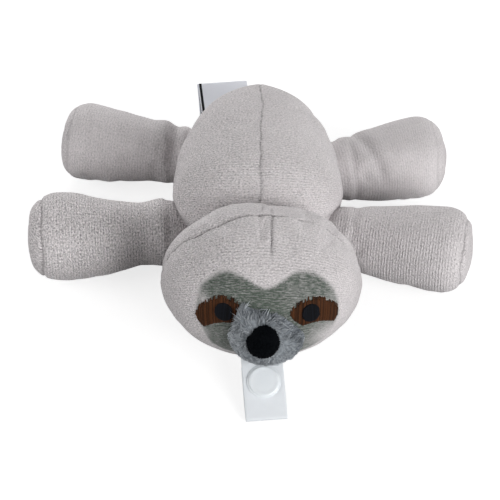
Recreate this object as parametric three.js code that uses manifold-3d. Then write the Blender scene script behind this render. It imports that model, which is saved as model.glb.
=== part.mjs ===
// A plush sloth that lies on its belly with its limbs spread, and holds a pacifier in a snap strap under its muzzle.
// Millimetres, +Z up, the head towards -Y. The origin is on the floor, under the middle of the belly.
import * as THREE from "three";
import { mergeVertices } from "three/addons/utils/BufferGeometryUtils.js";
import Module from "manifold-3d";

const wasm = await Module();
wasm.setup();

// Cloth and sewing
const coverThickness = 1.6; // plush cloth with its pile
const seamGap = 0.3; // free space between two pieces that are sewn or pressed together

// Torso
const torsoHalfWidth = 32.6;
const torsoFrontLength = 37;
const torsoRearLength = 45;
const torsoMiddleY = 0;
const torsoMiddleHeight = 23;
const torsoCrownHeight = 27;
const torsoBellyDepth = 26;
const torsoFrontFullness = 2.8; // 2 is an ellipsoid, and more is a fuller shape
const torsoRearFullness = 2.2;
const torsoTaperShare = 0.15; // how much broader the shoulders are than the middle
const sideSeamHeight = 20;
const backSeamX = 1.8;

// Neck, a ball of the torso that the head turns on
const neckRadius = 15.5;
const neckX = 1;
const neckY = -37;
const neckHeight = 25;
const neckClearance = 0.6;
const nodUpDegrees = 15;
const nodDownDegrees = 12;

// Head
const headHalfWidth = 36.9;
const headFaceLength = 29.4;
const headRearLength = 28;
const headCrownHeight = 28;
const headChinDepth = 29;
const headFullness = 2.1;
const headX = 1.2;
const headY = -61;
const headHeight = 27;
const headTurnDegrees = -2;
const crownSeamY = 6; // behind the middle of the head

// Limbs, whose inner ends are balls that turn in dents of the torso
const limbRootRadius = 12.5;
const limbHingeOut = 4.9; // beside the torso's widest place
const limbHingeHeight = 14.5;
const limbPocketClearance = 0.5;
const limbFlatShare = 0.95; // height of a limb's section as a share of its width
const limbEndDepth = 12.5; // how much of the paw is rounded at its end
const limbEndFullness = 2.4;
const limbRiseDegrees = 2; // the paws are thicker than the roots, so their middles lie higher
const soleDepth = 5; // from the sole's seam to the end of the paw
const armLeftY = -25;
const armRightY = -28.2;
const armLeftReach = 52.3;
const armRightReach = 45.6;
const armPawRadius = 17.2;
const armLeftSweepDegrees = 5;
const armRightSweepDegrees = 12;
const legLeftY = 22.6;
const legRightY = 12.5;
const legLeftReach = 43.5;
const legRightReach = 40.5;
const legPawRadius = 17.2;
const legLeftSweepDegrees = -9;
const legRightSweepDegrees = -11.5;
const armLeftSwellShares = [0.1, 0.7]; // where each limb starts and ends to swell into its paw, along its reach
const armRightSwellShares = [-0.15, 0.8];
const legLeftSwellShares = [-0.1, 1];
const legRightSwellShares = [-0.15, 0.7];

// Muzzle, from the middle of the head, and the nose, from the middle of the muzzle
const muzzleHalfWidth = 14;
const muzzleHalfHeight = 12.5;
const muzzleHalfDepth = 11;
const muzzleX = 2.6;
const muzzleSink = 2.9; // behind the front of the face
const muzzleDrop = 1.5;
const noseRadius = 6.2;
const noseHalfDepth = 4.2;
const noseX = -1;
const noseForward = 8.5;
const noseRise = 5;
const noseTiltDegrees = 25;

// Eyes, embroidered patches with a pupil in each, from the middle of the head
const faceMiddleX = 2.8;
const eyeSpacing = 30.7; // between the pupils
const eyeSink = 4.4; // behind the front of the face
const eyeHeight = 8;
const eyeOutDegrees = 15; // how far the eyes look outwards
const eyeUpDegrees = 35;
const pupilRadius = 3.1;
const embroideryThickness = 0.8;
const eyeLeftTiltDegrees = -9;
const eyeRightTiltDegrees = 8;
const eyeOutline = [
  [-7.4, 2.2],
  [-6, 3.8],
  [-3.9, 5.2],
  [-0.1, 5.9],
  [3, 5],
  [5.6, 3.7],
  [8.3, 1.6],
  [10.7, -1.6],
  [10, -4.8],
  [8.6, -7],
  [4.5, -5.2],
  [0.3, -4.4],
  [-3.4, -4.4],
  [-6, -1.2],
]; // outwards and up from the pupil

// Strap, a ribbon sewn in at the mouth, which folds back under itself at its far end
const ribbonWidth = 15.2;
const ribbonThickness = 0.7;
const mouthX = 0.1; // from the middle of the head, as is the drop
const mouthDrop = 15.4;
const mouthSink = 3.3; // behind the front of the face
const foldHeight = 1.5;
const strapLength = 22.3;
const strapTurnDegrees = 5;
const foldRadius = 0.85;
const strapTail = 2.5; // from the mouth to the loose end of the lower leaf

// Snap that holds the strap closed
const snapDistance = 9; // from the mouth
const snapCapRadius = 6.2;
const snapCapDepth = 1.1;
const snapRimRadius = 5.2; // of the socket and the stud
const snapSocketDepth = 1.5;
const snapFlangeDepth = 0.7;
const snapBoreRadius = 2.6;
const snapBoreDepth = 1.2;
const snapPostRadius = 1.7;
const snapPostDepth = 1;
const snapGap = 0.2;
const leafSpacing = ribbonThickness + snapSocketDepth + snapFlangeDepth + 3 * snapGap;

// Label in the side seam
const labelWidth = 21;
const labelLength = 27;
const labelThickness = 0.9;
const labelX = -14.9;
const labelEndY = 61.5;
const labelHeight = 20;
const labelTurnDegrees = 6;
const labelClearance = 0.8;

// How finely the soft shapes are faceted
const bodyRings = 22;
const bodySides = 28;
const snapSides = 32;
const coreRings = 12;
const coreSides = 16;
const limbStations = 14;
const limbSides = 18;
const coreStations = 9;
const coreLimbSides = 12;

// A closed geometry as a solid
function solidOf(geometry) {
  const source = geometry.index ? geometry.toNonIndexed() : geometry;
  const bare = new THREE.BufferGeometry();
  bare.setAttribute("position", source.getAttribute("position"));
  const merged = mergeVertices(bare);
  const vertProperties = new Float32Array(merged.getAttribute("position").array);
  const triVerts = new Uint32Array(merged.index.array);
  return new wasm.Manifold(new wasm.Mesh({ numProp: 3, vertProperties, triVerts }));
}

// A named mesh of a solid
function meshOf(name, solid, finish) {
  const made = solid.getMesh();
  const geometry = new THREE.BufferGeometry();
  geometry.setAttribute("position", new THREE.BufferAttribute(made.vertProperties, made.numProp));
  geometry.setIndex(new THREE.BufferAttribute(made.triVerts, 1));
  geometry.computeVertexNormals();
  const mesh = new THREE.Mesh(geometry, finish);
  mesh.name = name;
  return mesh;
}

function material(colour, roughness) {
  return new THREE.MeshStandardMaterial({ color: colour, roughness: roughness, metalness: 0 });
}

const plush = material(0xc4bfbd, 0.95);
const filling = material(0xf2f0ea, 1);
const longPile = material(0x8b9298, 0.95);
const blackPile = material(0x0d0e11, 0.9);
const brownThread = material(0x432d1f, 0.7);
const blackThread = material(0x15181d, 0.6);
const ribbonCloth = material(0xe3e7eb, 0.6);
const snapPlastic = material(0xe6ebee, 0.3);

// A ball as a solid
function ball(radius, centre) {
  const geometry = new THREE.SphereGeometry(radius, coreSides, coreRings);
  geometry.translate(...centre);
  return solidOf(geometry);
}

// The part of a solid that lies over the floor, with its base lifted by inset
function onFloor(solid, inset) {
  return solid.trimByPlane([0, 0, 1], inset);
}

// A stuffed shape: a ball stretched to its sizes, fuller than an ellipsoid, tapering along Y and drawn in by inset
function stuffedForm(form, inset, rings, sides) {
  const geometry = new THREE.SphereGeometry(1, sides, rings);
  const place = geometry.getAttribute("position");
  for (let i = 0; i < place.count; i++) {
    const along = THREE.MathUtils.clamp(place.getY(i), -1, 1);
    const ring = Math.hypot(place.getX(i), place.getZ(i));
    const fullness = along > 0 ? form.rearFullness : form.frontFullness;
    const profile = Math.pow(1 - Math.pow(Math.abs(along), fullness), 1 / fullness);
    const swell = ring > Number.EPSILON ? (profile / ring) * (1 - form.taperShare * along) : 0;
    const depth = place.getZ(i) > 0 ? form.crownHeight : form.bellyDepth;
    const length = along > 0 ? form.rearLength : form.frontLength;
    const x = place.getX(i) * swell * (form.halfWidth - inset);
    const z = place.getZ(i) * swell * (depth - inset);
    place.setXYZ(i, x, along * (length - inset), z);
  }
  return solidOf(geometry);
}

// Limbs
const limbs = [
  {
    name: "arm_left",
    side: -1,
    y: armLeftY,
    reach: armLeftReach,
    paw: armPawRadius,
    sweep: armLeftSweepDegrees,
    swell: armLeftSwellShares,
  },
  {
    name: "arm_right",
    side: 1,
    y: armRightY,
    reach: armRightReach,
    paw: armPawRadius,
    sweep: armRightSweepDegrees,
    swell: armRightSwellShares,
  },
  {
    name: "leg_left",
    side: -1,
    y: legLeftY,
    reach: legLeftReach,
    paw: legPawRadius,
    sweep: legLeftSweepDegrees,
    swell: legLeftSwellShares,
  },
  {
    name: "leg_right",
    side: 1,
    y: legRightY,
    reach: legRightReach,
    paw: legPawRadius,
    sweep: legRightSweepDegrees,
    swell: legRightSwellShares,
  },
];

function hingeOf(limb) {
  return [limb.side * (torsoHalfWidth + limbHingeOut), limb.y, limbHingeHeight];
}

// The radius of a limb at a distance from its hinge, along its axis
function limbRadius(limb, distance) {
  if (distance < 0) return Math.sqrt(Math.max(limbRootRadius ** 2 - distance ** 2, 0));
  const swell = THREE.MathUtils.smoothstep(distance / limb.reach, ...limb.swell);
  const past = Math.max((distance - limb.reach + limbEndDepth) / limbEndDepth, 0);
  const rounding = Math.pow(Math.max(1 - Math.pow(past, limbEndFullness), 0), 1 / limbEndFullness);
  return THREE.MathUtils.lerp(limbRootRadius, limb.paw, swell) * rounding;
}

// Where a limb stands: its axis runs along X away from the torso, swept forwards and rising a little
function limbPlace(limb) {
  const sweep = THREE.MathUtils.degToRad(limb.sweep);
  const turn = limb.side > 0 ? -sweep : Math.PI + sweep;
  const rise = THREE.MathUtils.degToRad(-limbRiseDegrees);
  const place = new THREE.Matrix4().makeRotationFromEuler(new THREE.Euler(0, rise, turn, "ZYX"));
  return place.setPosition(...hingeOf(limb));
}

// A limb as a lathed shape in its place, drawn in by inset
function limbForm(limb, inset, stations, sides) {
  const whole = limbRootRadius + limb.reach;
  const points = [];
  for (let i = 0; i <= stations; i++) {
    const share = (1 - Math.cos((Math.PI * i) / stations)) / 2;
    const radius = limbRadius(limb, share * whole - limbRootRadius);
    const drawnIn = i % stations === 0 ? 0 : radius - inset * Math.min(radius / limbRootRadius, 1);
    points.push(new THREE.Vector2(drawnIn, inset - limbRootRadius + share * (whole - inset - inset)));
  }
  const geometry = new THREE.LatheGeometry(points, sides);
  geometry.rotateZ(-Math.PI / 2);
  geometry.scale(1, 1, limbFlatShare);
  geometry.applyMatrix4(limbPlace(limb));
  return onFloor(solidOf(geometry), inset);
}

// The sleeve, the sole panel sewn to its end, and the filling of a limb
function makeLimb(limb) {
  const outer = limbForm(limb, 0, limbStations, limbSides);
  const cover = outer.subtract(limbForm(limb, coverThickness, coreStations, coreLimbSides));
  const axis = new THREE.Vector3(1, 0, 0).transformDirection(limbPlace(limb));
  const seam = axis.dot(new THREE.Vector3(...hingeOf(limb))) + limb.reach - soleDepth;
  const sleeve = cover.trimByPlane(axis.clone().negate().toArray(), -seam);
  const sole = cover.trimByPlane(axis.toArray(), seam + seamGap);
  const core = limbForm(limb, coverThickness + seamGap, coreStations, coreLimbSides);
  return [
    meshOf(limb.name + "_sleeve", sleeve, plush),
    meshOf(limb.name + "_sole", sole, plush),
    meshOf(limb.name + "_filling", core, filling),
  ];
}

// Torso
const torsoForm = {
  halfWidth: torsoHalfWidth,
  frontLength: torsoFrontLength,
  rearLength: torsoRearLength,
  crownHeight: torsoCrownHeight,
  bellyDepth: torsoBellyDepth,
  frontFullness: torsoFrontFullness,
  rearFullness: torsoRearFullness,
  taperShare: torsoTaperShare,
};
const neckCentre = [neckX, neckY, neckHeight];

// The torso with its neck, drawn in by inset and dented where the limbs are sewn on
function torsoSolid(inset, rings, sides) {
  const trunk = stuffedForm(torsoForm, inset, rings, sides).translate([0, torsoMiddleY, torsoMiddleHeight]);
  return onFloor(trunk.add(ball(neckRadius - inset, neckCentre)), inset);
}

function withLimbDents(solid) {
  const dents = limbs.map((limb) => ball(limbRootRadius + limbPocketClearance, hingeOf(limb)));
  return dents.reduce((left, dent) => left.subtract(dent), solid);
}

function makeTorso() {
  const shell = torsoSolid(0, bodyRings, bodySides).subtract(torsoSolid(coverThickness, coreRings, coreSides));
  const cover = withLimbDents(shell);
  const back = cover.trimByPlane([0, 0, 1], sideSeamHeight + seamGap);
  const belly = cover.trimByPlane([0, 0, -1], -sideSeamHeight);
  const core = withLimbDents(torsoSolid(coverThickness + seamGap, coreRings, coreSides));
  return [
    meshOf("back_panel_left", back.trimByPlane([-1, 0, 0], -backSeamX), plush),
    meshOf("back_panel_right", back.trimByPlane([1, 0, 0], backSeamX + seamGap), plush),
    meshOf("belly_panel", belly, plush),
    meshOf("torso_filling", core, filling),
  ];
}

// Head
const headForm = {
  halfWidth: headHalfWidth,
  frontLength: headFaceLength,
  rearLength: headRearLength,
  crownHeight: headCrownHeight,
  bellyDepth: headChinDepth,
  frontFullness: headFullness,
  rearFullness: headFullness,
  taperShare: 0,
};
const headPlace = new THREE.Matrix4()
  .makeRotationZ(THREE.MathUtils.degToRad(headTurnDegrees))
  .setPosition(headX, headY, headHeight);

// The head in its place, drawn in by inset, without the room that the neck and the nodding over the shoulders take
function headSolid(inset, rings, sides) {
  const placed = stuffedForm(headForm, inset, rings, sides).transform(headPlace.elements);
  const room = -neckClearance - inset;
  const trunk = stuffedForm(torsoForm, room, rings, sides).translate([0, torsoMiddleY, torsoMiddleHeight]);
  const fromNeck = trunk.translate(neckCentre.map((distance) => -distance));
  const nods = [-nodDownDegrees, 0, nodUpDegrees].map((turn) => fromNeck.rotate([turn, 0, 0]).translate(neckCentre));
  const cut = nods.reduce((left, nod) => left.subtract(nod), onFloor(placed, inset));
  return cut.subtract(ball(neckRadius - room, neckCentre));
}

// An ellipsoid from its half sizes and its middle, in the head's place
function headEllipsoid(halves, tilt, middle) {
  const geometry = new THREE.SphereGeometry(1, coreSides, coreRings);
  geometry.scale(...halves);
  geometry.rotateX(-THREE.MathUtils.degToRad(tilt));
  geometry.translate(...middle);
  geometry.applyMatrix4(headPlace);
  return solidOf(geometry);
}

const muzzleMiddle = [muzzleX, muzzleSink - headFaceLength, -muzzleDrop];
const noseMiddle = [muzzleMiddle[0] + noseX, muzzleMiddle[1] - noseForward, muzzleMiddle[2] + noseRise];

function muzzleForm(inset) {
  const halves = [muzzleHalfWidth - inset, muzzleHalfDepth - inset, muzzleHalfHeight - inset];
  return headEllipsoid(halves, 0, muzzleMiddle);
}

// An eye's outline, seen from where the eye looks, as a cutter through the face
function eyeCutter(outline, side) {
  const geometry = new THREE.ExtrudeGeometry(outline, { depth: headFaceLength, bevelEnabled: false });
  geometry.translate(0, 0, -headFaceLength / 2);
  const rise = THREE.MathUtils.degToRad(90 - eyeUpDegrees);
  const turn = THREE.MathUtils.degToRad(side * eyeOutDegrees);
  geometry.applyMatrix4(new THREE.Matrix4().makeRotationFromEuler(new THREE.Euler(rise, 0, turn, "ZYX")));
  geometry.translate(faceMiddleX + (side * eyeSpacing) / 2, eyeSink - headFaceLength, eyeHeight);
  geometry.applyMatrix4(headPlace);
  return solidOf(geometry);
}

// The patch and the pupil of an eye, as embroidery that lies on the face
function makeEye(name, side, tilt, seat) {
  const turn = THREE.MathUtils.degToRad(side * tilt);
  const corners = eyeOutline.map(([out, up]) => {
    return new THREE.Vector2(side * out, up).rotateAround(new THREE.Vector2(), turn);
  });
  const pupilOutline = new THREE.Shape().absarc(0, 0, pupilRadius);
  const holeOutline = new THREE.Shape().absarc(0, 0, pupilRadius + seamGap);
  const raised = stuffedForm(headForm, -seamGap - embroideryThickness, bodyRings, bodySides);
  const layer = raised.transform(headPlace.elements).subtract(seat).subtract(muzzleForm(-seamGap));
  const patch = layer.intersect(eyeCutter(new THREE.Shape(corners), side)).subtract(eyeCutter(holeOutline, side));
  return [
    meshOf("eye_patch_" + name, patch, brownThread),
    meshOf("pupil_" + name, layer.intersect(eyeCutter(pupilOutline, side)), blackThread),
  ];
}

function makeHead() {
  const cover = headSolid(0, bodyRings, bodySides).subtract(headSolid(coverThickness, coreRings, coreSides));
  const core = headSolid(coverThickness + seamGap, coreRings, coreSides);
  const rear = new THREE.Vector3(0, 1, 0).transformDirection(headPlace);
  const seam = rear.dot(new THREE.Vector3(headX, headY, headHeight)) + crownSeamY;
  const face = cover.trimByPlane(rear.clone().negate().toArray(), -seam);
  const nape = cover.trimByPlane(rear.toArray(), seam + seamGap);
  const seat = stuffedForm(headForm, -seamGap, bodyRings, bodySides).transform(headPlace.elements);
  const muzzle = muzzleForm(0).subtract(muzzleForm(coverThickness)).subtract(seat);
  const muzzleCore = muzzleForm(coverThickness + seamGap).subtract(seat);
  const noseSolid = headEllipsoid([noseRadius, noseHalfDepth, noseRadius], noseTiltDegrees, noseMiddle);
  return [
    meshOf("face_panel", face, plush),
    meshOf("nape_panel", nape, plush),
    meshOf("head_filling", core, filling),
    meshOf("muzzle_panel", muzzle, longPile),
    meshOf("muzzle_filling", muzzleCore, filling),
    meshOf("nose", noseSolid.subtract(muzzleForm(-seamGap)), blackPile),
    ...makeEye("left", -1, eyeLeftTiltDegrees, seat),
    ...makeEye("right", 1, eyeRightTiltDegrees, seat),
  ];
}

// Strap and snap, in a frame whose X runs from the mouth to the fold and whose Y is square to the upper leaf
const mouth = [headX + mouthX, headY - headFaceLength + mouthSink, headHeight - mouthDrop];
const strapSlope = Math.asin((headHeight - mouthDrop - foldHeight) / strapLength);
const strapTurn = THREE.MathUtils.degToRad(strapTurnDegrees);
const strapPlace = new THREE.Matrix4()
  .makeRotationFromEuler(new THREE.Euler(strapSlope, 0, strapTurn, "ZYX"))
  .setPosition(...mouth)
  .multiply(
    new THREE.Matrix4().makeBasis(
      new THREE.Vector3(0, -1, 0),
      new THREE.Vector3(0, 0, 1),
      new THREE.Vector3(-1, 0, 0),
    ),
  );

// A shape drawn in the strap's frame, as wide as the ribbon or wider
function acrossStrap(shape, width = ribbonWidth) {
  const geometry = new THREE.ExtrudeGeometry(shape, { depth: width, bevelEnabled: false });
  geometry.translate(0, 0, -width / 2);
  geometry.applyMatrix4(strapPlace);
  return solidOf(geometry);
}

// A ribbon that follows a line of points, with a thickness
function leafShape(line, thickness) {
  const along = line.map((point, i) => {
    return line[Math.min(i + 1, line.length - 1)].clone().sub(line[Math.max(i - 1, 0)]).normalize();
  });
  const upper = line.map((p, i) => new THREE.Vector2(p.x - (along[i].y * thickness) / 2, p.y + (along[i].x * thickness) / 2));
  const lower = line.map((p, i) => new THREE.Vector2(p.x + (along[i].y * thickness) / 2, p.y - (along[i].x * thickness) / 2));
  return new THREE.Shape([...upper, ...lower.reverse()]);
}

// A turned piece of the snap, from a profile of radii and heights
function snapPiece(profile) {
  const points = profile.map(([radius, height]) => new THREE.Vector2(radius, height));
  const geometry = new THREE.LatheGeometry(points, snapSides);
  geometry.translate(snapDistance, 0, 0);
  geometry.applyMatrix4(strapPlace);
  return solidOf(geometry);
}

// A cap of the snap, flat towards the ribbon and domed away from it
function snapCap(flat, side) {
  const crown = flat + side * snapCapDepth;
  const rim = flat + (side * snapCapDepth) / 2;
  const shoulder = (snapCapRadius + snapRimRadius) / 2;
  const profile = [
    [0, flat],
    [snapCapRadius, flat],
    [snapCapRadius, rim],
    [shoulder, crown - (side * snapGap) / 2],
    [snapRimRadius, crown],
    [0, crown],
  ];
  return snapPiece(side > 0 ? profile : profile.reverse());
}

function makeStrap() {
  const half = ribbonThickness / 2;
  const foldMiddle = new THREE.Vector2(strapLength, half - foldRadius);
  const lowerLine = [
    new THREE.Vector2(strapLength, foldMiddle.y - foldRadius + half),
    new THREE.Vector2(snapDistance + snapCapRadius + foldRadius, -leafSpacing),
    new THREE.Vector2(snapDistance + snapRimRadius, -leafSpacing),
    new THREE.Vector2(strapTail, -leafSpacing),
  ].reverse();
  const fold = acrossStrap(new THREE.Shape().absarc(foldMiddle.x, foldMiddle.y, foldRadius));
  const foldCircle = new THREE.Shape().absarc(foldMiddle.x, foldMiddle.y, foldRadius + seamGap);
  const foldSpace = acrossStrap(foldCircle, ribbonWidth + seamGap);
  const upperLine = [new THREE.Vector2(), new THREE.Vector2(strapLength, 0)];
  const upper = acrossStrap(leafShape(upperLine, ribbonThickness)).subtract(foldSpace);
  const socketTop = -half - snapGap;
  const socketFoot = socketTop - snapSocketDepth;
  const flangeTop = socketFoot - snapGap;
  const flangeFoot = flangeTop - snapFlangeDepth;
  const socket = snapPiece([
    [0, socketFoot + snapBoreDepth],
    [snapBoreRadius, socketFoot + snapBoreDepth],
    [snapBoreRadius, socketFoot],
    [snapRimRadius, socketFoot],
    [snapRimRadius, socketTop],
    [0, socketTop],
  ]);
  const stud = snapPiece([
    [0, flangeFoot],
    [snapRimRadius, flangeFoot],
    [snapRimRadius, flangeTop],
    [snapPostRadius, flangeTop],
    [snapPostRadius, flangeTop + snapPostDepth],
    [0, flangeTop + snapPostDepth],
  ]);
  return [
    meshOf("strap_upper_leaf", upper, ribbonCloth),
    meshOf("strap_lower_leaf", acrossStrap(leafShape(lowerLine, ribbonThickness)).add(fold), ribbonCloth),
    meshOf("snap_cap", snapCap(half + snapGap, 1), snapPlastic),
    meshOf("snap_socket", socket, snapPlastic),
    meshOf("snap_stud", stud, snapPlastic),
    meshOf("snap_base_cap", snapCap(-leafSpacing - half - snapGap, -1), snapPlastic),
  ];
}

// Label, a folded ribbon that stands out of the side seam
function makeLabel() {
  const geometry = new THREE.BoxGeometry(labelWidth, labelLength, labelThickness);
  geometry.translate(0, -labelLength / 2, 0);
  geometry.rotateZ(THREE.MathUtils.degToRad(labelTurnDegrees));
  geometry.translate(labelX, labelEndY, labelHeight);
  const outside = torsoSolid(-labelClearance, bodyRings, bodySides);
  return meshOf("side_label", solidOf(geometry).subtract(outside), ribbonCloth);
}

const sloth = new THREE.Group();
sloth.add(...makeTorso(), ...makeHead(), ...limbs.flatMap(makeLimb), ...makeStrap(), makeLabel());

export default sloth;
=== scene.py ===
import math

import bpy
import numpy as np
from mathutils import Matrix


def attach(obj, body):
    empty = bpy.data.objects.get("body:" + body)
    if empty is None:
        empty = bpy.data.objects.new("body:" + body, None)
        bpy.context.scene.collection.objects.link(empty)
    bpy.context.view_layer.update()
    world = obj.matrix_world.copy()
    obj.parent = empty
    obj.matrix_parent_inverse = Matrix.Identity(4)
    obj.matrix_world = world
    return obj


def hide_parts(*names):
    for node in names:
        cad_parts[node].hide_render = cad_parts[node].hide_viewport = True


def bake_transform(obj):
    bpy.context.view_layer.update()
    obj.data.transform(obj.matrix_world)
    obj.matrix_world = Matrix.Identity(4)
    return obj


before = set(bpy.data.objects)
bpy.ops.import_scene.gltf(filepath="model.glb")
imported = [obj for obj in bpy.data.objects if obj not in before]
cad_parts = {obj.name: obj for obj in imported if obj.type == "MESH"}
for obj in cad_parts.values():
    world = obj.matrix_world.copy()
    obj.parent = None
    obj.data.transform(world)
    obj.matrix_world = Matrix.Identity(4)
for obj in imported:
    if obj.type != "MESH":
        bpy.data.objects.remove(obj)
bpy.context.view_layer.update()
mm = 0.001


# The table that the toy lies on: a white sheet with a long lens 45 degrees above it. Three wide soft
# lamps stand low round it between pale walls: the strongest at the front right, one behind and a weak
# one on the left. The white comes from the sheet, which also takes the toy's soft shadows.
def plugged(owner, node, inputs):
    """The node, whose sockets, by name or number, take values or other nodes' outputs."""
    for name, value in inputs.items():
        if isinstance(value, bpy.types.NodeSocket):
            owner.node_tree.links.new(value, node.inputs[name])
        else:
            node.inputs[name].default_value = value
    return node


def joined(owner, kind, inputs=None, **settings):
    """A new shader node with its settings made and its sockets plugged."""
    made = owner.node_tree.nodes.new("ShaderNode" + kind)
    for name, value in settings.items():
        setattr(made, name, value)
    return plugged(owner, made, inputs or {})


def sums(owner, operation, first, second=0.0, third=0.0):
    """The output of one Math node."""
    inputs = {0: first, 1: second, 2: third}
    return joined(owner, "Math", inputs, operation=operation).outputs[0]


def weighed(owner, start, *parts):
    """The start plus each pattern times its weight."""
    for pattern, weight in parts:
        start = sums(owner, "MULTIPLY_ADD", pattern, weight, start)
    return start


def seen(owner):
    """1 for what the lens sees, straight or mirrored, and 0 for what only throws light on the toy."""
    rays = joined(owner, "LightPath").outputs
    return sums(owner, "MAXIMUM", rays["Is Camera Ray"], rays["Is Glossy Ray"])


def placed(name, data):
    """A new object in the scene."""
    made = bpy.data.objects.new(name, data)
    bpy.context.scene.collection.objects.link(made)
    return made


LENS_MM, SENSOR_MM = 110.45, 36
CAMERA_PLACE, CAMERA_TILT = (-3.0 * mm, -454.7 * mm, 434.7 * mm), math.radians(45)
camera = placed("camera", bpy.data.cameras.new("camera"))
camera.data.sensor_width = SENSOR_MM
camera.data.lens = LENS_MM
camera.location = CAMERA_PLACE
camera.rotation_euler = (CAMERA_TILT, 0, 0)
bpy.context.scene.camera = camera
bpy.context.scene.view_settings.view_transform = "Standard"

TABLE_HALF, PAPER_GREY, SHEET_GLOW = 3.0, 0.45, 0.76
sheet = bpy.data.meshes.new("white_table")
corners = [(x * TABLE_HALF, y * TABLE_HALF, 0) for x, y in ((-1, -1), (1, -1), (1, 1), (-1, 1))]
sheet.from_pydata(corners, [], [(0, 1, 2, 3)])
table = placed("white_table", sheet)
white = bpy.data.materials.new("white_table")
white.use_nodes = True
white.node_tree.nodes.clear()
paper = joined(white, "BsdfDiffuse", {"Color": (PAPER_GREY, PAPER_GREY, PAPER_GREY, 1)})
glow = joined(white, "Emission", {"Strength": weighed(white, 0.0, (seen(white), SHEET_GLOW))})
both = joined(white, "AddShader", {0: paper.outputs[0], 1: glow.outputs[0]})
joined(white, "OutputMaterial", {"Surface": both.outputs[0]})
sheet.materials.append(white)

WALL_LIGHT, WALL_GLOW = 0.15, 0.85
walls = bpy.data.worlds.new("pale_walls")
walls.use_nodes = True
walls.node_tree.nodes.clear()
strength = weighed(walls, WALL_LIGHT, (seen(walls), WALL_GLOW))
light = joined(walls, "Background", {"Color": (1, 1, 1, 1), "Strength": strength})
joined(walls, "OutputWorld", {"Surface": light.outputs[0]})
bpy.context.scene.world = walls

LAMP_WIDTH = 0.55
TOY_MIDDLE = np.array([0, -0.02, 0.02])


def lamp(name, place, power):
    """A square soft lamp that faces the middle of the toy."""
    made = placed(name, bpy.data.lights.new(name, "AREA"))
    made.data.size = LAMP_WIDTH
    made.data.energy = power
    made.location = place
    away = np.array(place) - TOY_MIDDLE
    flat = math.hypot(away[0], away[1])
    made.rotation_euler = (math.atan2(flat, away[2]), 0, math.atan2(away[0], -away[1]))


lamp("front_lamp", (0.60, -0.62, 0.33), 7.4)
lamp("back_lamp", (0.0, 0.83, 0.33), 5.6)
lamp("left_lamp", (-0.78, -0.20, 0.36), 3.4)


# The body: two back panels that meet in a centre seam and a belly panel under them, of short-pile
# knitted plush, stuffed with fibre. The ribs of the knit run from the neck to the tail.
def closed_skin(name, places, cloth, **marks):
    """A closed mesh through a grid of places, or through each of several grids: a grid's rows are rings,
    and its first and last rows are drawn together to a point. Marks are values for each place, kept as
    attributes of the points. The map for baking gives every grid a square tile of its own inside a
    margin, its columns across and its rows up."""
    places = places[None] if places.ndim == 3 else places
    count, rows, columns = places.shape[:3]
    inner = rows - 2
    each = 2 + inner * columns

    def flat(values):
        ends = [values[:, :1].mean(2), values[:, -1:].mean(2)]
        middle = values[:, 1:-1].reshape(count, inner * columns, -1)
        return np.concatenate([ends[0], middle, ends[1]], 1).reshape(count * each, -1)

    number, ring = np.arange(count), np.arange(columns)
    foot, after = 0 * ring, (ring + 1) % columns
    band = 1 + columns * np.arange(inner - 1)[:, None]
    quads = np.stack([band + ring, band + after, band + columns + after, band + columns + ring], -1)
    low = np.stack([foot, 1 + after, 1 + ring], -1)
    high = np.stack([foot + each - 1, each - 1 - columns + ring, each - 1 - columns + after], -1)
    corners_of_quads = quads.reshape(-1, 4) + each * number[:, None, None]
    corners_of_fans = np.concatenate([low, high]) + each * number[:, None, None]
    points = flat(places)
    sides = points[corners_of_quads.reshape(-1, 4)]
    inside_out = np.einsum("ij,ij->", sides.mean(1) - points.mean(0),
                           np.cross(sides[:, 2] - sides[:, 0], sides[:, 3] - sides[:, 1])) < 0
    tiles, margin = math.ceil(math.sqrt(count)), 0.04
    corner = np.stack([number % tiles, number // tiles], -1)[:, None, None] + margin

    def tiled(across, up):
        spots = np.stack([np.stack(across, -1), np.stack(up, -1)], -1) / [columns, rows - 1]
        return (corner + (1 - 2 * margin) * spots.reshape(1, -1, len(across), 2)) / tiles

    level, column = np.mgrid[1:inner, 0:columns]
    quad_tiles = tiled([column, column + 1, column + 1, column], [level, level, level + 1, level + 1])
    low_tiles = tiled([ring + 0.5, ring + 1, ring], [foot, foot + 1, foot + 1])
    high_tiles = tiled([ring + 0.5, ring, ring + 1], [foot + rows - 1, foot + inner, foot + inner])
    fan_tiles = np.concatenate([low_tiles, high_tiles], 1)
    if inside_out:
        corners_of_quads, quad_tiles = corners_of_quads[..., ::-1], quad_tiles[:, :, ::-1]
        corners_of_fans, fan_tiles = corners_of_fans[..., ::-1], fan_tiles[:, :, ::-1]
    faces = corners_of_quads.reshape(-1, 4).tolist() + corners_of_fans.reshape(-1, 3).tolist()
    mesh = bpy.data.meshes.new(name)
    mesh.from_pydata(points.tolist(), [], faces)
    uv = mesh.uv_layers.new(name="OFBake")
    uv.data.foreach_set("uv", np.concatenate([quad_tiles.ravel(), fan_tiles.ravel()]).astype(np.float32))
    for mark, values in marks.items():
        kept = mesh.attributes.new(mark, "FLOAT", "POINT")
        values = np.broadcast_to(values, (count, rows, columns))
        kept.data.foreach_set("value", flat(values[..., None]).ravel().astype(np.float32))
    mesh.shade_smooth()
    mesh.materials.append(cloth)
    return placed(name, mesh)


def bell(value, width):
    """1 at zero, and less on both sides of it: exp(-(value / width)^2)."""
    return np.exp(-((value / width) ** 2))


def ripple(value, length):
    """A sine from -1 to 1 with one wave for each length."""
    return np.sin(value * 2 * np.pi / length)


def smooth(value, start, end):
    """0 before start, 1 after end and a smooth rise between them."""
    share = np.clip((value - start) / (end - start), 0, 1)
    return share * share * (3 - 2 * share)


def unit(ways):
    """Directions made one long."""
    return ways / (np.linalg.norm(ways, axis=-1, keepdims=True) + 1e-12)


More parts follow.
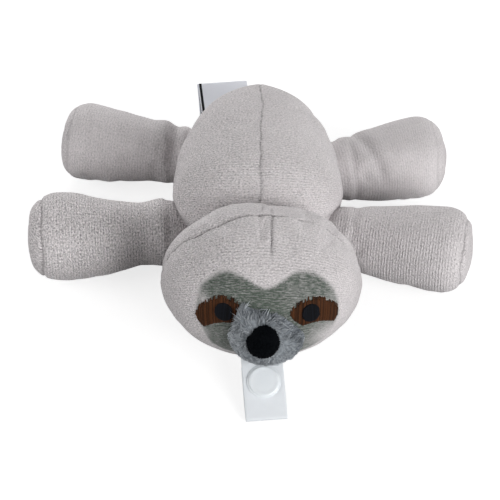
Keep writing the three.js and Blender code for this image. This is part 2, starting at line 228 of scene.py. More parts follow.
def crowded(count, whole, places, width, gain, periodic=False):
    """count + 1 values from 0 to whole, closer together near the given places by 1 + gain."""
    fine = np.linspace(0, whole, 4001)
    far = np.abs(fine[:, None] - np.array(places)[None, :])
    far = np.minimum(far, whole - far) if periodic else far
    density = 1 + gain * bell(far, width).sum(1)
    total = np.concatenate([[0], np.cumsum((density[1:] + density[:-1]) / 2)])
    return np.interp(np.linspace(0, total[-1], count + 1), total, fine)


def lumps(points, period, seed):
    """Uneven swelling from -1 to 1: the mean of eight plane waves in seeded directions, each about a
    period long."""
    draw = np.random.default_rng(seed)
    ways = unit(draw.normal(size=(8, 3)))
    lengths = period * draw.uniform(0.7, 1.4, 8)
    phases = draw.uniform(0, 2 * np.pi, 8)
    return np.sin(points @ (ways / lengths[:, None]).T * 2 * np.pi + phases).mean(-1) * 1.6


def groove(distance, width, depth):
    """A seam's cross-section: a rounded valley of that depth, and the cloth puffed up a little beside it."""
    beside = bell(np.abs(distance) - 2.4 * width, 1.3 * width)
    return -depth * bell(distance, width) + 0.22 * depth * beside


def rest_on_table(points, edge=0.8 * mm):
    """The points with what lies under the table pressed flat on it, over a rounded edge."""
    z = points[..., 2]
    eased = np.where(z < edge, (np.maximum(z + edge, 0) ** 2) / (4 * edge), z)
    return np.concatenate([points[..., :2], eased[..., None]], -1)


def settled(places, held, gathered, every, gain, cap):
    """How far a stuffed cover moves from its plain form when it settles, as one shift for each place. A
    copy of every few rows and columns, ten times as large, is a cloth: its filling presses outwards, held
    places stay, gathered places draw together as a seam's thread draws them, the rest has a little spare
    cloth, and 20 frames pass without gravity. The shift is what the copy moved, less the mean of its wide
    surroundings, times gain, and no more than cap."""
    times, frames, wide_passes = 10, 20, 40
    rows, columns = places.shape[:2]
    row_picks = np.unique([*range(0, rows, every), rows - 1])
    column_picks = np.arange(0, columns, every)
    picks = np.ix_(row_picks, column_picks)
    coarse = places[picks]
    copy = closed_skin("settling", coarse * times, None)
    numbers = np.arange(1, len(copy.data.vertices) - 1)
    for group, weights in (("held", held), ("gathered", gathered)):
        made = copy.vertex_groups.new(name=group)
        steps = np.round(weights[picks][1:-1].ravel() * 8) / 8
        for step in np.unique(steps[steps > 0]):
            made.add(numbers[steps == step].tolist(), float(step), "REPLACE")
    stuffing = copy.modifiers.new("stuffing", "CLOTH")
    stuffing.point_cache.frame_start, stuffing.point_cache.frame_end = 1, frames
    settings = dict(quality=6, tension_stiffness=12, compression_stiffness=12, bending_stiffness=0.3,
                    use_pressure=True, uniform_pressure_force=4, vertex_group_mass="held",
                    vertex_group_shrink="gathered", shrink_min=-0.04, shrink_max=0.25)
    for setting, value in settings.items():
        setattr(stuffing.settings, setting, value)
    stuffing.settings.effector_weights.gravity = 0
    for number in range(1, frames + 1):
        bpy.context.scene.frame_set(number)
    after = copy.evaluated_get(bpy.context.evaluated_depsgraph_get()).data
    moved = np.empty(3 * len(after.vertices), np.float32)
    after.vertices.foreach_get("co", moved)
    bpy.context.scene.frame_set(1)
    bpy.data.meshes.remove(copy.data)
    moved = moved.reshape(-1, 3)[1:-1].reshape(len(row_picks) - 2, -1, 3) / times
    shift = np.zeros_like(coarse)
    shift[1:-1] = moved - coarse[1:-1]

    def blurred(values, passes):
        for _ in range(passes):
            values = (np.roll(values, 1, 1) + 2 * values + np.roll(values, -1, 1)) / 4
            wider = np.concatenate([values[:1], values, values[-1:]])
            values = (wider[:-2] + 2 * values + wider[2:]) / 4
        return values

    shift = (shift - blurred(shift, wide_passes)) * gain
    shift *= np.minimum(1, cap / (np.linalg.norm(shift, axis=-1) + 1e-9))[..., None]
    across = np.interp(np.arange(columns), [*column_picks, columns], np.arange(len(column_picks) + 1))
    down = np.interp(np.arange(rows), row_picks, np.arange(len(row_picks)))
    for axis, at, count in ((1, across, len(column_picks)), (0, down, len(row_picks))):
        low = np.floor(at).astype(int)
        part = (at - low)[None, :, None] if axis else (at - low)[:, None, None]
        high = (low + 1) % count if axis else np.minimum(low + 1, count - 1)
        shift = np.take(shift, low % count, axis) * (1 - part) + np.take(shift, high, axis) * part
    return blurred(shift, every)


def stuffed(form, along, turn):
    """A stuffed form, as grids of places and outward directions. Along Y, at a share a of its length, its
    radius is (1 - |a|^f)^(1/f) of the full one, with f 2 for an ellipsoid and more for a fuller shape, and
    it narrows by its taper from front to rear. Across, it is half an ellipse over its middle and another
    under it."""
    a, t = along[:, None], turn[None, :]
    fullness = np.where(a > 0, form["rear_fullness"], form["front_fullness"])
    profile = (1 - np.abs(a) ** fullness).clip(0) ** (1 / fullness)
    swell = profile * (1 - form["taper"] * a)
    length = np.where(a > 0, form["rear"], form["front"])
    depth = np.where(np.sin(t) > 0, form["crown"], form["belly"])
    x, z = np.cos(t) * swell * form["half_width"], np.sin(t) * swell * depth
    y = a * length + 0 * t
    out = np.stack([x / form["half_width"] ** 2, y / length**2 * (0.2 + np.abs(a)), z / depth**2], -1)
    return np.stack([x, y, z], -1), unit(out)


def lengths_along(path):
    """How far along a path each of its places is."""
    return np.concatenate([[0], np.cumsum(np.linalg.norm(np.diff(path, axis=0), axis=1))])


def knit(points, half_width, low=10 * mm):
    """The marks of the knit, in metres: wale is the arc across from the middle, as on a ball of the form's
    width. Course is the way from the crown towards the front and the rear, measured round the form's middle
    section: each place takes that of the section at the same angle about a line low under the middle."""
    wale = half_width * np.arcsin(np.clip(points[..., 0] / half_width, -0.999, 0.999))
    upright = points[len(points) // 2, :, 2]
    section = np.concatenate([points[:, upright.argmax()], points[:, upright.argmin()]])
    angles = np.arctan2(section[:, 1], section[:, 2] + low)
    order = np.argsort(angles)
    angles, section = angles[order], section[order]
    way = lengths_along(section[:, 1:])
    way = way - np.interp(0, angles, way)
    return {"wale": wale, "course": np.interp(np.arctan2(points[..., 1], points[..., 2] + low), angles, way)}


def linear(red, green, blue):
    """A colour for a shader from its 0 to 255 values: the sRGB curve undone."""
    share = np.array([red, green, blue]) / 255
    curved = ((share + 0.055) / 1.055) ** 2.4
    return [*np.where(share > 0.04045, curved, share / 12.92).tolist(), 1.0]


def new_finish(name):
    """A new material with its shader."""
    made = bpy.data.materials.new(name)
    made.use_nodes = True
    return made


def worn(finish, inputs):
    """The finish with its shader's sockets set or plugged."""
    plugged(finish, finish.node_tree.nodes["Principled BSDF"], inputs)
    return finish


def mark(finish, attribute):
    """The output of an attribute of the points."""
    return joined(finish, "Attribute", attribute_name=attribute).outputs["Fac"]


def noise(finish, vector, scale, detail):
    """The output of one noise texture."""
    inputs = {"Vector": vector, "Scale": scale, "Detail": detail}
    return joined(finish, "TexNoise", inputs).outputs["Fac"]


def ramp(finish, value, *ends):
    """The output of one Map Range node: its ends are those of the value, and then those it gives."""
    return joined(finish, "MapRange", dict(enumerate([value, *ends]))).outputs[0]


def mixed(finish, share, first, second):
    """The output of a mix of two colours."""
    inputs = {0: share, 6: linear(*first), 7: linear(*second)}
    return joined(finish, "Mix", inputs, data_type="RGBA").outputs[2]


def shaded(finish, colour, shade):
    """The output of a colour times a shade."""
    return joined(finish, "VectorMath", {0: colour, 3: shade}, operation="SCALE").outputs[0]


def bumped(finish, strength, distance, height):
    """The output of one Bump node."""
    inputs = {"Strength": strength, "Distance": distance, "Height": height}
    return joined(finish, "Bump", inputs).outputs[0]


ROW_HEIGHT, DASH_LENGTH, DASH_HEIGHT, STREAK_WIDTH = 1.1 * mm, 0.74 * mm, 0.48 * mm, 2.2 * mm
# The pattern is painted up to the gain times stronger left of the first x than right of the second: painted
# shading of the pile where light grazes it.
GRAZED_SIDE, GRAZED_GAIN = (-30 * mm, 5 * mm), 1.8


def plush_cloth(name, colour, printed=None, grain=1.0):
    """Short-pile knitted plush. Its rows follow the course and are broken into short dashes; a close noise
    stands for the tips of the pile and two wide ones for how it has been stroked. Painted shade darkens it
    down in its seams, as much as the attribute seam says, and where that is under zero it is painted
    lighter instead. Grain is how strong the dashes, rows and tips are, and they are painted stronger
    towards the left side: painted shading of the pile where the light grazes it. Printed is the colour
    inside the line where the attribute print is over zero, as strong as the attribute fade, and between
    the dashes the undyed foot of the pile shows through it."""
    cloth = new_finish(name)
    place = joined(cloth, "TexCoord").outputs["Object"]
    wale, course = mark(cloth, "wale"), mark(cloth, "course")
    wander, tips = noise(cloth, place, 420, 2), noise(cloth, place, 1300, 1)
    strokes, patches = noise(cloth, place, 55, 3), noise(cloth, place, 230, 2)
    across = weighed(cloth, 0.0, (wander, 1.5), (wale, 1 / DASH_LENGTH))
    down = weighed(cloth, 0.0, (wander, 1.5), (course, 1 / DASH_HEIGHT))
    dashes = noise(cloth, joined(cloth, "CombineXYZ", {0: across, 1: down}).outputs[0], 1.0, 1)
    rows = sums(cloth, "SINE", weighed(cloth, 0.0, (course, 2 * math.pi / ROW_HEIGHT), (wander, 3.0)))
    raised = weighed(cloth, 0.0, (rows, 0.6), (dashes, 4.0), (tips, 2.0))
    shade = weighed(cloth, -0.78, (rows, 0.05), (dashes, 1.12), (tips, 0.44))
    aside = joined(cloth, "SeparateXYZ", {0: place}).outputs[0]
    # Painted shading of the pile under grazing light: the pattern is stronger towards the left side.
    grazed_contrast = ramp(cloth, aside, *GRAZED_SIDE, GRAZED_GAIN * grain, grain)
    # Painted shade darkens the seams, and a seam mark under zero paints light instead.
    seam = mark(cloth, "seam")
    shade = weighed(cloth, 0.82, (shade, grazed_contrast), (strokes, 0.18), (patches, 0.16), (seam, -0.30))
    dyed = linear(*colour)[:3]
    if printed:
        edge = weighed(cloth, mark(cloth, "print"), (dashes, 2.4 * mm))
        inside = ramp(cloth, edge, 0.6 * mm, 1.7 * mm)
        wide = weighed(cloth, 0.0, (wander, 1.0), (wale, 1 / STREAK_WIDTH))
        streaks = noise(cloth, joined(cloth, "CombineXYZ", {0: wide, 1: down, 2: 3.0}).outputs[0], 1.0, 2)
        foot = ramp(cloth, weighed(cloth, streaks, (rows, 0.05)), 0.32, 0.60, 0.66, 1.04)
        strength = sums(cloth, "MULTIPLY", sums(cloth, "MULTIPLY", inside, foot), mark(cloth, "fade"))
        dyed = mixed(cloth, strength, colour, printed)
    return worn(cloth, {"Base Color": shaded(cloth, dyed, shade), "Roughness": 0.92,
                        "Normal": bumped(cloth, 0.65, 0.17 * mm * grain, raised),
                        "Specular IOR Level": 0.12, "Sheen Weight": 0.22, "Sheen Roughness": 0.45})


PLUSH = (210, 205, 206)
body_plush = plush_cloth("body_plush", PLUSH)
leg_plush = plush_cloth("leg_plush", PLUSH, grain=0.5)

BODY = dict(half_width=32.6 * mm, front=37 * mm, rear=45 * mm, crown=27 * mm, belly=26 * mm,
            front_fullness=2.8, rear_fullness=2.2, taper=0.15)
BODY_MIDDLE = np.array([0, 0, 23 * mm])
SEAM_WIDTH, BACK_SEAM_X, BACK_SEAM_DEPTH = 0.5 * mm, 1.1 * mm, 0.27 * mm
SIDE_SEAM_HEIGHT, SIDE_SEAM_DEPTH = 20 * mm, 0.4 * mm
TAIL_RIDGE, ROOT_DENT, SHOULDER_SHIFT = 1.5 * mm, 1.0 * mm, 1.2 * mm
LIMB_ROOT, ROOT_SEAM = 12.5 * mm, 11.5 * mm
HINGE_X, HINGE_HEIGHT = 37.5 * mm, 14.5 * mm
ARM_LEFT_Y, ARM_RIGHT_Y, LEG_LEFT_Y, LEG_RIGHT_Y = -25 * mm, -28.2 * mm, 22.6 * mm, 12.5 * mm
along = -np.cos(np.pi * crowded(170, 1, [0.5], 0.2, 0.3))
turn = crowded(220, 2 * np.pi, [0.5 * np.pi, 1.04 * np.pi, 1.96 * np.pi], 0.07, 4, periodic=True)[:-1]
points, out = stuffed(BODY, along, turn)
marks = knit(points, BODY["half_width"] * 1.1)
points = points + BODY_MIDDLE
points[..., 0] -= SHOULDER_SHIFT * smooth(-points[..., 1], 10 * mm, 30 * mm)
x, y, z = np.moveaxis(points, -1, 0)
# The back seam wanders a little, its stitches pucker it, and the cloth stands up in a ridge at the tail.
seam_x = BACK_SEAM_X + 1.1 * mm * bell(y - 14 * mm, 10 * mm) + 0.2 * mm * ripple(y, 11 * mm)
pucker = ripple(y, 2.6 * mm) * 0.12 + 1
upper = smooth(z, 20.5 * mm, 22 * mm)
back_seam = (x - seam_x) * pucker
side_seam = z - SIDE_SEAM_HEIGHT + 0.4 * mm * ripple(y, 31 * mm)
lift = groove(back_seam, 0.9 * SEAM_WIDTH, BACK_SEAM_DEPTH) * upper
lift = lift + groove(side_seam, SEAM_WIDTH, SIDE_SEAM_DEPTH)
ridge = TAIL_RIDGE * np.exp(-np.abs(x - seam_x) / (6 * mm))
lift = lift + ridge * smooth(y, 28 * mm, 43 * mm) * smooth(z, 18 * mm, 30 * mm)
lift = lift + 0.35 * mm * lumps(points, 24 * mm, 3) + 0.12 * mm * lumps(points, 9 * mm, 4)
uneven = 0.5 + 0.35 * lumps(points, 2.6 * mm, 5)
# Painted shade darkens the back seam, unevenly along it, and the side seam.
seam_shade = 2.2 * uneven * bell(back_seam, 0.4 * mm) * upper + 0.6 * bell(side_seam, 0.5 * mm)
held = (z < 2 * mm) | (y > 36 * mm)
# A dent with a seam darkened by painted shade goes round the root of each limb, and the cloth inside it is
# held.
for side, root_y in ((-1, ARM_LEFT_Y), (1, ARM_RIGHT_Y), (-1, LEG_LEFT_Y), (1, LEG_RIGHT_Y)):
    beyond = np.hypot(y - root_y, z - HINGE_HEIGHT) - ROOT_SEAM
    near = np.where(x * side > 0, bell(beyond, 2.6 * mm), 0)
    lift = lift - ROOT_DENT * near
    seam_shade = np.maximum(seam_shade, 0.7 * near * bell(beyond, 1.2 * mm))
    held = held | ((x * side > 0) & (beyond < 0))
side_gathers = 0.28 * bell(side_seam, 0.8 * mm) * (1 - smooth(y, 20 * mm, 34 * mm))
back_gathers = 0.28 * bell(back_seam, 0.8 * mm) * upper * (1 - smooth(y, 16 * mm, 30 * mm))
shift = settled(points, held, np.maximum(side_gathers, back_gathers), 3, 0.6, 0.9 * mm)
points = rest_on_table(points + out * lift[..., None] + shift)
body = closed_skin("body", points, body_plush, seam=seam_shade, **marks)
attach(body, "torso")
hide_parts("back_panel_left", "back_panel_right", "belly_panel", "torso_filling")


# The head: a face panel gathered by a short dart in the forehead, and a nape panel behind the crown
# seam, of the same plush. The dark patch round the eyes is printed on the face panel before it is sewn.
HEAD = dict(half_width=36.9 * mm, front=29.4 * mm, rear=28 * mm, crown=28 * mm, belly=29 * mm,
            front_fullness=2.1, rear_fullness=2.1, taper=0.0)
HEAD_MIDDLE = np.array([1.2, -61, 27]) * mm
HEAD_TURN = math.radians(-2)
CROWN_SEAM_DEPTH, DART_WIDTH, DART_DEPTH = 0.6 * mm, 0.45 * mm, 0.6 * mm
HEAD_AXES = np.array([[math.cos(HEAD_TURN), math.sin(HEAD_TURN), 0],
                      [-math.sin(HEAD_TURN), math.cos(HEAD_TURN), 0], [0, 0, 1]])
MASK_LINE = np.array([
    (-22.1, 9.9), (-21.1, 14.1), (-19.8, 15.9), (-18.4, 17.2), (-16.6, 18.6), (-14.5, 19.9), (-12.4, 20.7),
    (-10.2, 21), (-8.1, 20.7), (-6, 20.4), (-3.8, 19.8), (-1.7, 18.9), (0.1, 18.3), (2.2, 17.9), (4.3, 18.1),
    (6, 18.7), (7.8, 19.5), (9.8, 20.2), (11.9, 20.8), (14, 20.7), (16.1, 20.2), (18.6, 19.3), (20.8, 17.9),
    (22.9, 16.1), (24.8, 14.1), (26.3, 12), (27.3, 9.6), (27.9, 6.8), (28.2, 2.9), (26.8, -2.6), (23.4, -8.9),
    (17, -13.5), (2, -16), (-12.1, -13.5), (-17.1, -9.7), (-19.2, -4.2), (-20.5, 0.2), (-22.3, 5.3),
]) * mm
DART = np.array([
    (3.5, 11.5, 25.7), (3.6, 7.5, 27), (3.7, 4, 27.6), (3.7, -1.1, 27.8), (3.7, -5.8, 27.4),
    (3.7, -9.9, 26.5), (3.8, -14, 24.9), (3.8, -17, 23.2),
]) * mm
# Where the print is paler, or a little darker where the last value is under zero: the place
# across and up and the width, in millimetres, and how much.
PALE_SPOTS = ((25, -6, 6.5, 0.9), (2.6, 7, 7, -0.27), (13, 14, 7, 0.12), (-20.2, 11, 2.6, 0.65),
              (25.5, 9, 4.0, 0.25), (-20.5, -2.5, 3.0, 0.42))


def from_head(local):
    """Places in the row frame from places measured from the middle of the head."""
    return local @ HEAD_AXES + HEAD_MIDDLE


def stretches(line):
    """The stretches between the places of a closed line, each as its two ends."""
    closed = np.vstack([line, line[:1]])
    return zip(closed[:-1], closed[1:])


def from_line(points, line):
    """The distance of each point from a line of places, and how far along the line it is nearest, from
    0 to 1."""
    line = np.array(line, float)
    best = np.full(points.shape[:-1], np.inf)
    along = np.zeros(points.shape[:-1])
    lengths = np.linalg.norm(np.diff(line, axis=0), axis=1)
    done = 0.0
    for start, way, length in zip(line[:-1], np.diff(line, axis=0), lengths):
        share = np.clip((points - start) @ way / length**2, 0, 1)
        far = np.linalg.norm(points - start - share[..., None] * way, axis=-1)
        along = np.where(far < best, (done + share * length) / lengths.sum(), along)
        best = np.minimum(best, far)
        done += length
    return best, along


def inside_line(places, line):
    """The distance of flat places from a closed line, more than zero inside it."""
    far, _ = from_line(places, np.vstack([line, line[:1]]))
    crossings = np.zeros(places.shape[:-1], int)
    for (x0, z0), (x1, z1) in stretches(line):
        between = (z0 > places[..., 1]) != (z1 > places[..., 1])
        at = x0 + (places[..., 1] - z0) / (z1 - z0 if z1 != z0 else 1) * (x1 - x0)
        crossings += between & (places[..., 0] < at)
    return np.where(crossings % 2 == 1, far, -far)


def halved_in(low, high, reached, halvings=34):
    """The last place before a test is met on the way from low to high, halved in on."""
    for _ in range(halvings):
        middle = (low + high) / 2
        met = reached(middle)
        low, high = np.where(met, low, middle), np.where(met, middle, high)
    return low


def out_of_body(points, room):
    """Places that lie inside the body, moved forwards to a small room in front of its skin. The body holds
    a place where its radius, at that share a of its length, is more than the place's own."""
    local = points - BODY_MIDDLE
    wide = BODY["half_width"] + room
    depth = np.where(local[..., 2] > 0, BODY["crown"], BODY["belly"]) + room
    radius = np.hypot(local[..., 0] / wide, local[..., 2] / depth)

    def holds(y):
        a = y / np.where(y > 0, BODY["rear"] + room, BODY["front"] + room)
        f = np.where(y > 0, BODY["rear_fullness"], BODY["front_fullness"])
        return radius < (1 - np.abs(a).clip(0, 1) ** f) ** (1 / f) * (1 - BODY["taper"] * a)

    y = local[..., 1]
    front = np.full(radius.shape, -BODY["front"] - room)
    moved = points.copy()
    moved[..., 1] = np.where(holds(y), halved_in(front, y, holds) + BODY_MIDDLE[1], points[..., 1])
    return moved


head_plush = plush_cloth("head_plush", PLUSH, printed=(84, 93, 85))
along = -np.cos(np.pi * crowded(190, 1, [0.53], 0.045, 2.2))
turn = crowded(250, 2 * np.pi, [0.5 * np.pi], 0.09, 4, periodic=True)[:-1]
local, out = stuffed(HEAD, along, turn)
marks = knit(local, HEAD["half_width"])
x, y, z = np.moveaxis(local, -1, 0)
# The crown seam lies further back on the right, the dart is sunk into the face, and the nape is slack.
crown_y = -0.7 * mm + 5.2 * mm * smooth(x, -24 * mm, -2 * mm) + 0.9 * mm * bell(x - 18 * mm, 8 * mm)
crown_y = crown_y - 0.8 * mm * smooth(x, 24 * mm, 30 * mm) + 0.15 * mm * ripple(x, 7 * mm)
crown_seam = y - crown_y
over = smooth(z, -8 * mm, 2 * mm) * 0.6 + 0.4
pucker = 1 + 0.3 * ripple(x, 2.4 * mm)
dart, along_dart = from_line(local, DART)
dart_depth = DART_DEPTH * (0.45 + 0.55 * smooth(along_dart, 0.2, 0.3)) * (1 - smooth(along_dart, 0.75, 1.0))
lift = groove(crown_seam * pucker, SEAM_WIDTH, CROWN_SEAM_DEPTH) * over
lift = lift - dart_depth * bell(dart, DART_WIDTH) + 0.3 * dart_depth * bell(dart - 1.6 * mm, 1.2 * mm)
slack = 0.3 * mm + 1.5 * mm * bell(x + 25 * mm, 7 * mm) + 2.0 * mm * bell(x - 4 * mm, 10 * mm)
lift = lift - slack * smooth(y, 3 * mm, 12 * mm) * smooth(z, -2 * mm, 9 * mm)
lift = lift + 0.3 * mm * lumps(local, 22 * mm, 11) + 0.1 * mm * lumps(local, 8 * mm, 12)
# Painted shade darkens the crown seam, most over the top, and the dart.
dart_shade = 2.8 * dart_depth / mm * bell(dart, 0.35 * mm)
marks["seam"] = np.maximum(bell(crown_seam, 0.5 * mm) * over, dart_shade)
marks["print"] = np.where(y < 0, inside_line(local[..., [0, 2]], MASK_LINE), -20 * mm)
marks["fade"] = 1 - sum(pale * bell(np.hypot(x / mm - across, z / mm - up), wide)
                        for across, up, wide, pale in PALE_SPOTS)
held = (y < -13 * mm) | (z < -20 * mm) | (y > 20 * mm)
gathers = 0.5 * bell(crown_seam, 0.8 * mm) * smooth(z, 0, 16 * mm)
shift = settled(local, held, gathers, 3, 0.7, 0.9 * mm)
skin = rest_on_table(out_of_body(from_head(local + out * lift[..., None] + shift), 0.5 * mm))
head = closed_skin("head", skin, head_plush, **marks)
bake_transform(head)
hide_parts("face_panel", "nape_panel", "head_filling")


# The limbs: each a sleeve of the same plush with a round sole sewn into its end, stuffed, and sewn
# over its open end to the side of the body. The paws are stuffed fuller than the roots.
LIMB_END, LIMB_FLAT, LIMB_RISE, PAW = 12.5 * mm, 0.95, math.radians(2), 17.2 * mm
SOLE_SEAM_DEPTH = 0.3 * mm
# Reach runs from the hinge to the end of the paw, and the limb widens between the two shares of it in
# swell. Sweep is in degrees towards the head. A fold has its place, slant, width and depth, and a gather
# its place, weight and slant. The root bulges by pouch, the limb curves forwards by bend, and one side of
# the paw is drawn back by lean. Sole is how far its seam is from the end, and sewn how deep that seam is,
# how hard it draws and how dark its painted shade is. Root shade is painted shade on the root next to the
# body; on the right leg it is under zero, a painted highlight on its fold.
LIMBS = (
    dict(name="arm_left", side=-1, y=ARM_LEFT_Y, reach=52.3 * mm, sweep=5, swell=(0.1, 0.7),
         folds=(), gathers=((-3 * mm, 0.5, 0.0),),
         pouch=1.5 * mm, bend=1.2 * mm, lean=0.0, sole=6.2 * mm, sewn=1.0, root_shade=0.2),
    dict(name="arm_right", side=1, y=ARM_RIGHT_Y, reach=46.3 * mm, sweep=12, swell=(-0.15, 0.8),
         folds=(), gathers=((-3 * mm, 0.2, 0.0),),
         pouch=0.0, bend=0.0, lean=0.0, sole=3.4 * mm, sewn=0.8, root_shade=0.0),
    dict(name="leg_left", side=-1, y=LEG_LEFT_Y, reach=43.5 * mm, sweep=-9, swell=(-0.1, 1.0),
         folds=((-3.8 * mm, 1.0 * mm, 2.4 * mm, 1.2 * mm),), gathers=((-2.0 * mm, 0.12, 0.8 * mm),),
         pouch=0.4 * mm, bend=0.0, lean=0.0, sole=5 * mm, sewn=0.5, root_shade=0.5),
    dict(name="leg_right", side=1, y=LEG_RIGHT_Y, reach=41.5 * mm, sweep=-11.5, swell=(-0.25, 0.7),
         folds=((-2.2 * mm, 1.5 * mm, 1.2 * mm, 0.2 * mm), (5.8 * mm, 4.5 * mm, 2.0 * mm, 0.8 * mm)),
         gathers=((0.5 * mm, 0.15, 0.8 * mm),),
         pouch=0.0, bend=0.0, lean=4 * mm, sole=5 * mm, sewn=0.4, root_shade=-0.35),
)


def limb_radius(limb, distance):
    """A limb's radius at a distance from its hinge: a full rounded root, a smooth swell into the paw and
    a rounded end."""
    root = (1 - (-distance / LIMB_ROOT).clip(0, 1) ** 3.2) ** (1 / 3.2)
    swell = smooth(distance / limb["reach"], *limb["swell"])
    past = ((distance - limb["reach"] + LIMB_END) / LIMB_END).clip(0, 1)
    return (LIMB_ROOT + (PAW - LIMB_ROOT) * swell) * (1 - past**2.4) ** (1 / 2.4) * root


for number, limb in enumerate(LIMBS):
    sweep, level = math.radians(limb["sweep"]), math.cos(LIMB_RISE)
    axis = np.array([limb["side"] * math.cos(sweep) * level, -math.sin(sweep) * level, math.sin(LIMB_RISE)])
    across = unit(np.cross([0, 0, 1], axis))
    up = np.cross(axis, across)
    hinge = np.array([limb["side"] * HINGE_X, limb["y"], HINGE_HEIGHT])
    share = (1 - np.cos(np.pi * crowded(110, 1, [0.77], 0.05, 1.2))) / 2
    distance = (share * (LIMB_ROOT + limb["reach"]) - LIMB_ROOT)[:, None]
    turn = np.linspace(0, 2 * np.pi, 121)[None, :-1]
    radius = limb_radius(limb, distance)
    section = np.cos(turn)[..., None] * across + np.sin(turn)[..., None] * up * LIMB_FLAT
    lean = limb["lean"] * (1 - np.cos(turn)) / 2 * radius / PAW
    slid = distance - lean * smooth(distance / limb["reach"], 0.3, 1)
    points = hinge + slid[..., None] * axis + radius[..., None] * section
    points[..., 1] -= limb["bend"] * bell(distance - 20 * mm, 10 * mm)
    sole = distance - limb["reach"] + limb["sole"] + 0.25 * mm * np.sin(turn * 5)
    lift = groove(sole, SEAM_WIDTH, SOLE_SEAM_DEPTH * limb["sewn"])
    pouch = limb["pouch"] * bell(distance - 0.5 * mm, 5 * mm)
    lift = lift + pouch * (0.35 + 0.65 * np.sin(turn).clip(0))
    for place, slant, width, depth in limb["folds"]:
        bend = distance - place + slant * np.cos(turn) + 0.4 * mm * lumps(points, 7 * mm, 60 + number)
        lift = lift + groove(bend, width, depth) * smooth(np.sin(turn + 0.25 * limb["side"]), -0.3, 0.4)
    lift = lift + 0.4 * mm * lumps(points, 22 * mm, 20 + number)
    lift = lift + 0.12 * mm * lumps(points, 8 * mm, 30 + number)
    held = (distance < -3 * mm) | (distance > limb["reach"] - 1.0 * mm) | (points[..., 2] < 1.5 * mm)
    gathers = 0.1 * limb["sewn"] * bell(sole, 0.8 * mm)
    for place, weight, slant in limb["gathers"]:
        ring = distance - place - slant * np.sin(turn * 1.5 + place / mm)
        gathers = np.maximum(gathers, weight * bell(ring, 0.9 * mm) * smooth(np.sin(turn), -0.6, 0.5))
    shift = settled(points, held, gathers, 2, 0.9, 1.5 * mm)
    skin = rest_on_table(points + unit(section) * lift[..., None] + shift)
    from_top = (turn + np.pi / 2) % (2 * np.pi) - np.pi
    wale = np.where(sole > 0, radius * np.cos(turn), radius * from_top)
    course = np.where(sole > 0, radius * np.sin(turn), distance)
    # Painted shade along the sole seam and on the root; a root shade under zero paints light on the root
    # instead.
    seam = 0.4 * limb["sewn"] * bell(sole, 0.4 * mm) + limb["root_shade"] * bell(distance + 1 * mm, 4.5 * mm)
    cloth = leg_plush if "leg" in limb["name"] else body_plush
    sleeve = closed_skin(limb["name"], skin, cloth, wale=wale, course=course, seam=seam)
    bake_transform(sleeve)
    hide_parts(limb["name"] + "_sleeve", limb["name"] + "_sole", limb["name"] + "_filling")


# The muzzle: a round of longer grey pile gathered over a little filling and sewn to the face. Its
# hairs are made one by one, lying outwards from the nose.
MUZZLE_MIDDLE = np.array([2.6, -26.5, -1.5]) * mm
MUZZLE_HALVES = np.array([14, 11, 12.5]) * mm
BACKING_SHARE, ROOT_SHARE = 0.97, 0.95
# The humps and hollows of its outline: place and width in degrees round it, and height as a share.
MUZZLE_OUTLINE = ((45, 30, -0.13), (84, 18, -0.04), (121, 16, 0.31))
NOSE_MIDDLE = np.array([1.6, -35, 3.5]) * mm
HAIRS, CLUMPS, HAIR_GIRTH = 8000, 560, 0.14 * mm
SHORTEST_HAIR, LONGEST_HAIR = 1.5 * mm, 2.7 * mm


def on_head(local, way, room):
    """Places moved back along a way to the face's skin, plus a room outwards: the face is where
    (x^2 / w^2 + z^2 / h^2)^(f / 2) + |y / l|^f is 1, which is halved in on along the way."""
    f = HEAD["front_fullness"]
    far = local + 60 * mm * way
    reach = 120 * mm

    def back(share):
        return far - (share * reach)[..., None] * way

    def inside(share):
        x, y, z = np.moveaxis(back(share), -1, 0)
        depth = np.where(z > 0, HEAD["crown"], HEAD["belly"]) + room
        ring = (x / (HEAD["half_width"] + room)) ** 2 + (z / depth) ** 2
        return ring ** (f / 2) + np.abs(y / (HEAD["front"] + room)) ** f <= 1

    shape = local.shape[:-1]
    return back(halved_in(np.zeros(shape), np.ones(shape), inside))


def face_at(places, room):
    """The face's Y under flat places (x, z), plus a room outwards."""
    start = np.stack([places[..., 0], 0 * places[..., 0], places[..., 1]], -1)
    return on_head(start, np.array([0, -1.0, 0]), room)[..., 1]


def hair_cloth(name, dark, light, roughness, shine=0.12):
    """The finish of hairs: each takes a shade of its own between a dark and a light colour, and a hair is
    darker at its root by painted shade down in the pile."""
    cloth = new_finish(name)
    colour = mixed(cloth, mark(cloth, "shade"), dark, light)
    return worn(cloth, {"Base Color": colour, "Roughness": roughness, "Specular IOR Level": shine})


def tubes(path, aside, out, girth, sides, flatness=1.0):
    """Tubes along paths: at each place a ring of a few sides, as wide as the girth there and as thick as
    its flatness makes it."""
    turn = np.linspace(0, 2 * np.pi, sides + 1)[:-1, None]
    ring = np.cos(turn) * aside[:, :, None] + np.sin(turn) * out[:, :, None] * flatness
    return path[:, :, None] + girth[None, :, None, None] * ring


def hairs(name, roots, lay, out, length, thickness, curl, shade, cloth):
    """Tapering hairs, drawn to a point at both ends. At a share t of its length a hair is at
    root + length * (t * lay + (0.5 t - 0.38 t^2) * out) + t^2 * curl."""
    stations = 5
    t = np.linspace(0, 1, stations)[None, :, None]
    arch = (0.5 * t - 0.38 * t**2) * out[:, None]
    path = roots[:, None] + length[:, None, None] * (t * lay[:, None] + arch) + t**2 * curl[:, None]
    girth = thickness * np.array([0.0, *np.linspace(1, 0.45, stations - 2), 0.0])
    places = tubes(path, unit(np.cross(lay, out))[:, None], out[:, None], girth, 3)
    # The shade falls towards the root: painted shade down in the pile.
    return closed_skin(name, places, cloth, shade=shade[:, None, None] * (0.6 + 0.4 * t))


